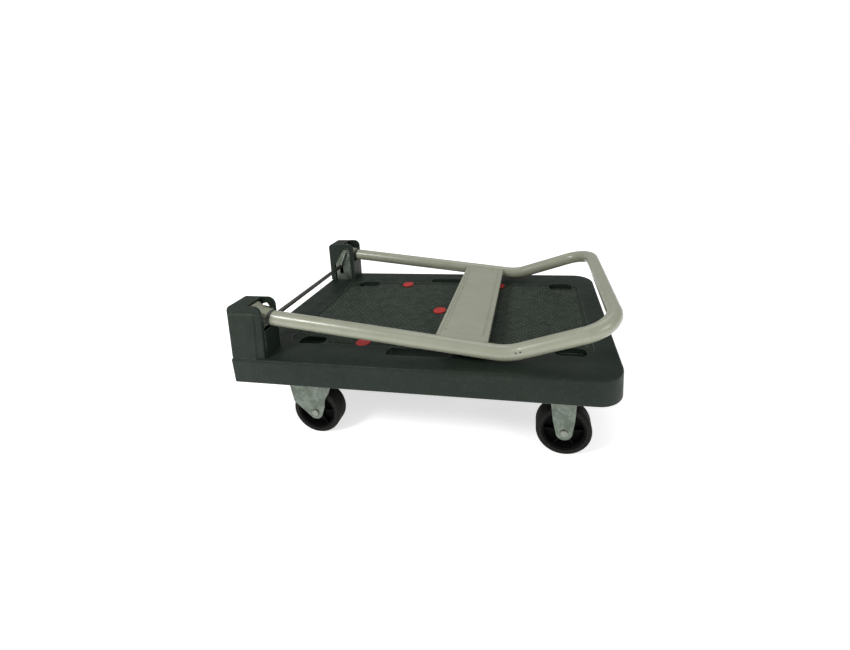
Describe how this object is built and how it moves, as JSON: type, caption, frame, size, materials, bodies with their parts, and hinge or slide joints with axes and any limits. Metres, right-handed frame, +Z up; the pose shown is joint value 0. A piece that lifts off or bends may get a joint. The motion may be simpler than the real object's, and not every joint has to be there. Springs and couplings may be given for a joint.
{
  "type": "folding platform cart",
  "caption": "Low flat cart with a moulded chequer deck, a fold-down tube push handle, a spring-loaded foot release bar, and fixed and swivel casters.",
  "frame": {"origin": "on the floor, under the middle of the folded cart's bounding box", "axes": "+X from the hinge end to the free end, +Y towards the far long side, +Z up"},
  "size_m": [0.746, 0.482, 0.283],
  "materials": {
    "deck_plastic": "fine moulded texture, dark grey-green",
    "cover_plastic": "fine moulded texture, dark grey-green",
    "plug_plastic": "smooth red",
    "handle_paint": "semi-gloss warm light grey paint on steel",
    "dark_nylon": "satin dark grey",
    "plated_bar": "bright plated steel",
    "spring_steel": "zinc plated wire",
    "insert_brass": "machined",
    "ball_steel": "polished, greased",
    "rim_plastic": "satin black",
    "tread_rubber": "matte grey",
    "zinc_steel": "zinc plated, slightly mottled",
    "fastener_steel": "zinc plated"
  },
  "bodies": {
    "platform": {"backing_plate_far": "zinc_steel", "backing_plate_near": "zinc_steel", "bracket_bolts": "fastener_steel", "bracket_nuts": "fastener_steel", "caster_bolts": "fastener_steel", "caster_washers": "fastener_steel", "cover_screws": "fastener_steel", "deck": "deck_plastic", "deck_inserts": "insert_brass", "deck_plugs": "plug_plastic", "hinge_bracket_far": "zinc_steel", "hinge_bracket_near": "zinc_steel", "hinge_cover_far": "cover_plastic", "hinge_cover_near": "cover_plastic", "kingpin_nuts": "fastener_steel", "kingpins": "fastener_steel", "pivot_pins": "fastener_steel", "rear_axle_bolts": "fastener_steel", "rear_axle_nuts": "fastener_steel", "rear_axle_sleeves": "fastener_steel", "return_spring_far": "spring_steel", "return_spring_near": "spring_steel", "rigid_fork_far": "zinc_steel", "rigid_fork_near": "zinc_steel", "swivel_balls": "ball_steel", "swivel_top_far": "zinc_steel", "swivel_top_near": "zinc_steel"},
    "release_bar": {"bar_clips": "spring_steel", "release_bar": "plated_bar"},
    "handle": {"cross_panel": "handle_paint", "handle_tube": "handle_paint", "leg_end_far": "handle_paint", "leg_end_near": "handle_paint", "leg_sleeve_far": "dark_nylon", "leg_sleeve_near": "dark_nylon", "pivot_bushes": "dark_nylon"},
    "swivel_far": {"front_axle_bolt_far": "fastener_steel", "front_axle_nut_far": "fastener_steel", "front_axle_sleeve_far": "fastener_steel", "swivel_fork_far": "zinc_steel"},
    "swivel_near": {"front_axle_bolt_near": "fastener_steel", "front_axle_nut_near": "fastener_steel", "front_axle_sleeve_near": "fastener_steel", "swivel_fork_near": "zinc_steel"},
    "front_wheel_far": {"front_wheel_rim_far": "rim_plastic", "front_wheel_tread_far": "tread_rubber"},
    "front_wheel_near": {"front_wheel_rim_near": "rim_plastic", "front_wheel_tread_near": "tread_rubber"},
    "rear_wheel_far": {"rear_wheel_rim_far": "rim_plastic", "rear_wheel_tread_far": "tread_rubber"},
    "rear_wheel_near": {"rear_wheel_rim_near": "rim_plastic", "rear_wheel_tread_near": "tread_rubber"}
  },
  "joints": [
    {"name": "handle_fold", "type": "hinge", "parent": "platform", "child": "handle", "pos_m": [-0.308, 0, 0.249], "axis": [0, -1, 0], "range_deg": [0, 97]},
    {"name": "release_press", "type": "slide", "parent": "platform", "child": "release_bar", "axis": [0, 0, -1], "range_m": [0, 0.018], "stiffness_N_per_m": 500, "springref_m": -0.02, "deforming": ["return_spring_far", "return_spring_near"]},
    {"name": "swivel_turn_near", "type": "hinge", "parent": "platform", "child": "swivel_near", "pos_m": [0.2405, -0.198, 0.122], "axis": [0, 0, 1], "continuous": true},
    {"name": "front_wheel_spin_near", "type": "hinge", "parent": "swivel_near", "child": "front_wheel_near", "pos_m": [0.2655, -0.198, 0.0495], "axis": [0, 1, 0], "continuous": true},
    {"name": "rear_wheel_spin_near", "type": "hinge", "parent": "platform", "child": "rear_wheel_near", "pos_m": [-0.219, -0.198, 0.0495], "axis": [0, 1, 0], "continuous": true},
    {"name": "swivel_turn_far", "type": "hinge", "parent": "platform", "child": "swivel_far", "pos_m": [0.2405, 0.198, 0.122], "axis": [0, 0, 1], "continuous": true},
    {"name": "front_wheel_spin_far", "type": "hinge", "parent": "swivel_far", "child": "front_wheel_far", "pos_m": [0.2655, 0.198, 0.0495], "axis": [0, 1, 0], "continuous": true},
    {"name": "rear_wheel_spin_far", "type": "hinge", "parent": "platform", "child": "rear_wheel_far", "pos_m": [-0.219, 0.198, 0.0495], "axis": [0, 1, 0], "continuous": true}
  ]
}
